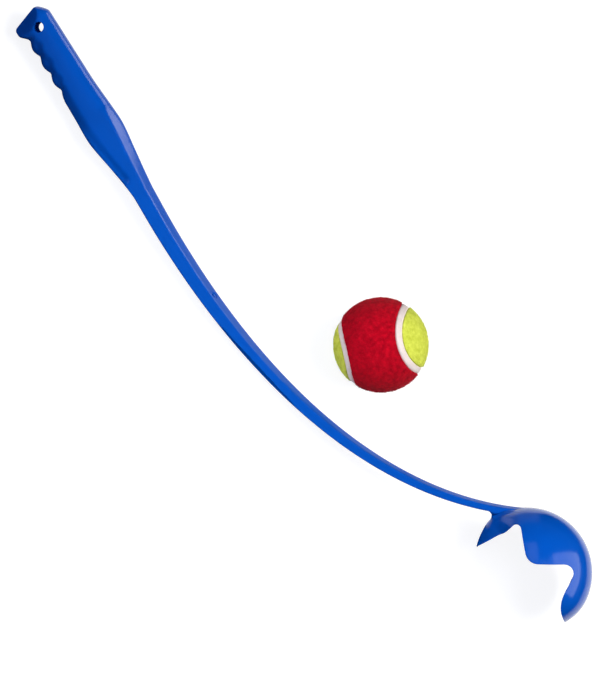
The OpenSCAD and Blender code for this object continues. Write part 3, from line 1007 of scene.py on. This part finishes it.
# %% Moulded plastic
plastics = []
for name, specular, rough in (
    ("moulded_polypropylene_blue", 0.22, (0.12, 0.2)),
    ("moulded_polypropylene_pin_dulled", 0.0, (0.6, 0.8)),
):
    # Even blue with clouds of 18 mm; gloss wavers in patches of 6 mm; orange peel of 1.6 mm
    plastic, tree, shader, place = new_material(name, IOR=1.49, Specular_IOR_Level=specular)
    tint(tree, shader, grain(tree, place, 18, 2.0), "#004EB0", "#0056C0")
    roughen(tree, shader, grain(tree, place, 6, 3.0), *rough)
    emboss(tree, shader, grain(tree, place, 1.6, 1.0), 0.12, 0.02)
    plastics.append(plastic)
wear(thrower, *plastics)
thrower.data.polygons.foreach_set("material_index", np.where(in_hole, WALL, 0))
print("thrower wears", [material.name for material in thrower.data.materials])

# %% [markdown]
# The felt is needled from wool and nylon and dyed. Its fibres lie in tufts; painted shade makes the colour darker in
# the hollows between them, along with the dye's own uneven tone, in blotches of two or three millimetres with a
# finer grain inside, and the fibre ends catch a soft sheen at the edge of the ball. There is no gloss.

# %% Needled felt
for piece, name, shaded_hollow_dye, light, sheen in (
    (red_felt, "needled_felt_red", "#8C0014", "#D20A24", "#FF8080"),
    (yellow_felt, "needled_felt_yellow", "#BFC838", "#E8EE62", "#FFFFC0"),
):
    felt, tree, shader, place = new_material(
        name, Roughness=0.95, Specular_IOR_Level=0.05,
        Sheen_Weight=0.15, Sheen_Roughness=0.5, Sheen_Tint=linear(sheen),
    )
    # Blotches of 2.8 mm with fibres of 0.7 mm in them, drawn coarser than real fibre so that they show
    blotch, fibre = grain(tree, place, 2.8, 2.0), grain(tree, place, 0.7, 2.0, Distortion=1.5)
    both = add_node(tree, "ShaderNodeMix", {"Factor": 0.4}, {"A": blotch, "B": fibre}).outputs["Result"]
    # Painted shade: the same noise sets the colour and the relief, so the felt is coloured darker where its relief is
    # low, in the hollows between the tufts, on top of the dye's uneven tone
    depth = add_node(tree, "ShaderNodeMapRange", {"From Min": 0.3, "From Max": 0.7}, {"Value": both})
    tint(tree, shader, depth.outputs["Result"], shaded_hollow_dye, light)
    emboss(tree, shader, both, 0.6, 0.25)
    wear(piece, felt)
print("felt on", red_felt.name, "and", yellow_felt.name)

# %% [markdown]
# The seam is white rubber that was pressed soft into the gap between the panels and then vulcanised, so it
# is smooth but not even, and lint from the red felt clings to it. The core under the felt is black rubber
# with the dull, slightly grainy face of a pressed part; little of it is ever seen.

# %% Vulcanised rubber
for name, pale, worn, patch, rough, pieces in (
    ("vulcanised_rubber_white", "#F0E8DE", "#E3C9C2", 1.8, (0.5, 0.7), [seam]),
    ("vulcanised_rubber_black", "#303030", "#222222", 0.9, (0.7, 0.85),
     [frame["nodes"]["core_half_upper"], frame["nodes"]["core_half_lower"]]),
):
    rubber, tree, shader, place = new_material(name, IOR=1.52, Specular_IOR_Level=0.3)
    # White: patches of lint 1.8 mm wide; black: a dull grain of 0.9 mm
    mottle = grain(tree, place, patch, 3.0)
    tint(tree, shader, mottle, pale, worn)
    roughen(tree, shader, mottle, *rough)
    emboss(tree, shader, mottle, 0.3, 0.1)
    for piece in pieces:
        wear(piece, rubber)
print("rubber on the seam and the core halves")

# %% [markdown]
# The floor is white paper. It is lit like the object, so it keeps a faint shadow, and part of its white is
# its own glow for rays from the camera and for rays that gloss sends on, so that it reaches plain white
# without more light on the object.

# %% Floor
floor_size, paper_glow = 10, 0.86
bpy.ops.mesh.primitive_plane_add(size=floor_size)
floor = bpy.context.object
floor.name = "floor"
paper, tree, shader, place = new_material(
    "white_paper", Base_Color=(0.3, 0.3, 0.3, 1), Roughness=0.9, Specular_IOR_Level=0.0, Emission_Color=(1, 1, 1, 1)
)
ray = add_node(tree, "ShaderNodeLightPath", {}, {}).outputs
shown = add_node(
    tree, "ShaderNodeMath", {"operation": "MAXIMUM"}, {0: ray["Is Camera Ray"], 1: ray["Is Glossy Ray"]}
)
glow = add_node(tree, "ShaderNodeMath", {"operation": "MULTIPLY", 1: paper_glow}, {0: shown.outputs[0]})
tree.links.new(glow.outputs[0], shader.inputs["Emission Strength"])
wear(floor, paper)
print("floor", floor.name)

# %% [markdown]
# Gloss shows whatever lies round the object, and with white paper on all sides the blue would look milky. A
# photographer lays black card there. One sheet covers the floor on the outer side of the bend and beyond the
# butt, and one lies to the right of the cup and leaves a white border, which draws the cup's pale rim. A grey
# one, black card with a faint glow, lies behind the cup and draws the haze on its top. Only gloss sees the card,
# so the picture keeps its white floor.

# %% Black and grey card on the floor
card_high, card_far, card_glow = 0.5, 4.0, 0.32
fan = np.radians(np.linspace(-120, -5, 12))
card_s = np.linspace(0, shaft_end, 60)
card_h = np.concatenate([fan, heading(card_s)])
card_base = np.stack([*middle_line(card_s), 0 * card_s], axis=-1)
card_base = on_floor(np.concatenate([np.zeros((len(fan), 3)), card_base]))
card_out = np.stack([np.sin(card_h), -np.cos(card_h), 0 * card_h], axis=-1) @ axes

border_turn = np.radians([-90, -60, -35, -20, 6, 27, 45, 67, 75])
border = MM * np.array([80, 90, 110, 133, 147, 128, 117, 100, 115])
floor_right = unit(np.array([image_right.x, image_right.y, 0]))
floor_back = np.array([-floor_right[1], floor_right[0], 0])
behind_turn = np.radians(np.linspace(75, 116, 9))
border_way, behind_way = (
    np.cos(turns)[:, None] * floor_right + np.sin(turns)[:, None] * floor_back for turns in (border_turn, behind_turn)
)

card_look = {"Base_Color": linear("#0A0A0A"), "Roughness": 1.0, "Specular_IOR_Level": 0.0}
flock = new_material("flocked_card_black", **card_look)[0]
grey = new_material("grey_card", Emission_Color=(1, 1, 1, 1), Emission_Strength=card_glow, **card_look)[0]
for name, inner, way, finish in (
    ("black_card_outside", card_base, card_out, flock),
    ("black_card_right", np.array(cup_place) + border[:, None] * border_way, border_way, flock),
    ("grey_card_behind", np.array(cup_place) + border[-1] * behind_way, behind_way, grey),
):
    rows = np.stack([inner, inner + card_far * way])
    rows[..., 2] = card_high * MM
    card = placed_grid(name, rows)
    wear(card, finish)
    card.visible_camera = card.visible_diffuse = card.visible_shadow = card.visible_transmission = False
    print(name, len(card.data.polygons), "faces")

# %% [markdown]
# The light comes from the right of the picture. Each soft light is set by its direction in the picture,
# right, up and towards the camera, and by which way is up on its panel. The key and the fill light only what is
# dull, and two softboxes are there for the gloss: a big one low at the right, which draws the bent bright
# patch on the cup, and a narrow one high up, which draws the faint patch on the lobe. Two small ones with a
# narrow spread stand closer: one draws the pale strip on the grip's back, one lifts the ball's left side.

# %% Lights
picture = Matrix((image_right, image_up, view_back)).transposed()
grip_place = Vector(on_floor([60, 0, 0]))
upwards = (0, 1, 0)
# Distances and panel sizes are in metres and beams in degrees; radiance is how bright the panel looks
for name, target, way, tall, distance, size, radiance, for_gloss, beam in (
    ("key_softbox", cup_place, (0.63, 0.15, 0.76), upwards, 2.0, (1.2, 1.2), 9.8, False, 180),
    ("fill_softbox", cup_place, (-0.2, 0.2, 0.95), upwards, 2.2, (2.0, 2.0), 1.15, False, 180),
    ("side_softbox", cup_place, (0.963, 0.025, 0.267), (-0.16, 0.21, 0.86), 1.2, (1.25, 1.45), 3.6, True, 180),
    ("high_softbox", cup_place, (0.118, 0.6, 0.79), (-0.05, 0.51, -0.39), 0.5, (0.146, 0.343), 1.4, True, 180),
    ("grip_softbox", grip_place, (0.846, 0.533, -0.15), (0, 0, 1), 0.6, (0.26, 0.25), 0.45, True, 50),
    ("ball_softbox", ball_place, (-0.82, 0.1, 0.55), upwards, 0.45, (0.25, 0.25), 0.5, False, 32),
):
    data = bpy.data.lights.new(name, "AREA")
    data.shape = "RECTANGLE"
    data.size, data.size_y = size
    data.energy = radiance * math.pi * size[0] * size[1]
    data.spread = math.radians(beam)
    light = bpy.data.objects.new(name, data)
    scene.collection.objects.link(light)
    back = (picture @ Vector(way)).normalized()
    upright = picture @ Vector(tall)
    upright = (upright - upright.dot(back) * back).normalized()
    turn = Matrix((upright.cross(back), upright, back)).transposed().to_4x4()
    light.matrix_world = Matrix.Translation(target + distance * back) @ turn
    light.visible_camera, light.visible_diffuse, light.visible_glossy = False, not for_gloss, for_gloss
    print(name, "at", [round(v, 2) for v in light.matrix_world.translation])
bpy.data.lights["fill_softbox"].color = linear("#C0D0FF")[:3]
studio_glow = 0.06
world = bpy.data.worlds.new("studio")
scene.world = world
world.use_nodes = True
world.node_tree.nodes["Background"].inputs["Color"].default_value = (1, 1, 1, 1)
world.node_tree.nodes["Background"].inputs["Strength"].default_value = studio_glow
scene.view_settings.view_transform = "Standard"
